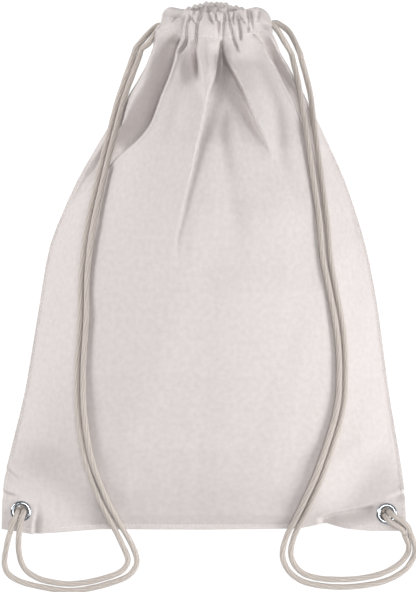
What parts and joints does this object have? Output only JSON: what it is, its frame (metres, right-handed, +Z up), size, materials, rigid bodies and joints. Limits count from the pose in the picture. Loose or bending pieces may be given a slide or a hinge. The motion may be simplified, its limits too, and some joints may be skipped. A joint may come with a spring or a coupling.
{
  "type": "drawstring backpack",
  "caption": "Cotton drawstring backpack lying on its back, gathered mouth at one end, corded straps down to metal eyelets in the bottom corners.",
  "frame": {"origin": "on the floor below the middle of the bag's own box, cords left out", "axes": "+Z up, away from the back panel that the bag lies on; +Y from the bottom seam to the mouth; +X to the wearer's left, image right"},
  "size_m": [0.368, 0.5225, 0.0956],
  "materials": {
    "cotton_cloth": "matt plain-weave cotton canvas, undyed pale beige grey",
    "sewing_thread": "matt cotton thread",
    "cotton_cord": "matt twisted cotton cord",
    "eyelet_metal": "bright nickel plate"
  },
  "bodies": {
    "bag": {"front_panel": "cotton_cloth", "back_panel": "cotton_cloth", "back_hem_tunnel": "cotton_cloth", "back_hem_stitching": "sewing_thread", "left_seam_stitching": "sewing_thread", "right_seam_stitching": "sewing_thread", "bottom_seam_stitching": "sewing_thread", "left_eyelet": "eyelet_metal", "left_eyelet_washer": "eyelet_metal", "right_eyelet": "eyelet_metal", "right_eyelet_washer": "eyelet_metal", "left_cord_back_run": "cotton_cord", "right_cord_back_run": "cotton_cord", "left_cord_leads": "cotton_cord", "right_cord_leads": "cotton_cord", "left_cord_stubs": "cotton_cord", "right_cord_stubs": "cotton_cord", "left_cord_knot": "cotton_cord", "right_cord_knot": "cotton_cord"},
    "mouth_front": {"front_hem_tunnel": "cotton_cloth", "front_hem_stitching": "sewing_thread", "left_cord_front_run": "cotton_cord", "right_cord_front_run": "cotton_cord"},
    "left_strap": {"left_strap_inner_strand": "cotton_cord", "left_strap_outer_strand": "cotton_cord"},
    "right_strap": {"right_strap_inner_strand": "cotton_cord", "right_strap_outer_strand": "cotton_cord"}
  },
  "joints": [
    {"name": "mouth_lip", "type": "hinge", "parent": "bag", "child": "mouth_front", "pos_m": [0.008, 0.204, 0.04], "axis": [1, 0, 0], "range_deg": [0, 35]},
    {"name": "left_strap_swing", "type": "hinge", "parent": "bag", "child": "left_strap", "pos_m": [-0.06, 0.185, 0.022], "axis": [-0.2474, -0.9689, -0.0092], "range_deg": [0, 90]},
    {"name": "right_strap_swing", "type": "hinge", "parent": "bag", "child": "right_strap", "pos_m": [0.082, 0.181, 0.022], "axis": [-0.2243, 0.9745, 0.0093], "range_deg": [0, 90]}
  ]
}
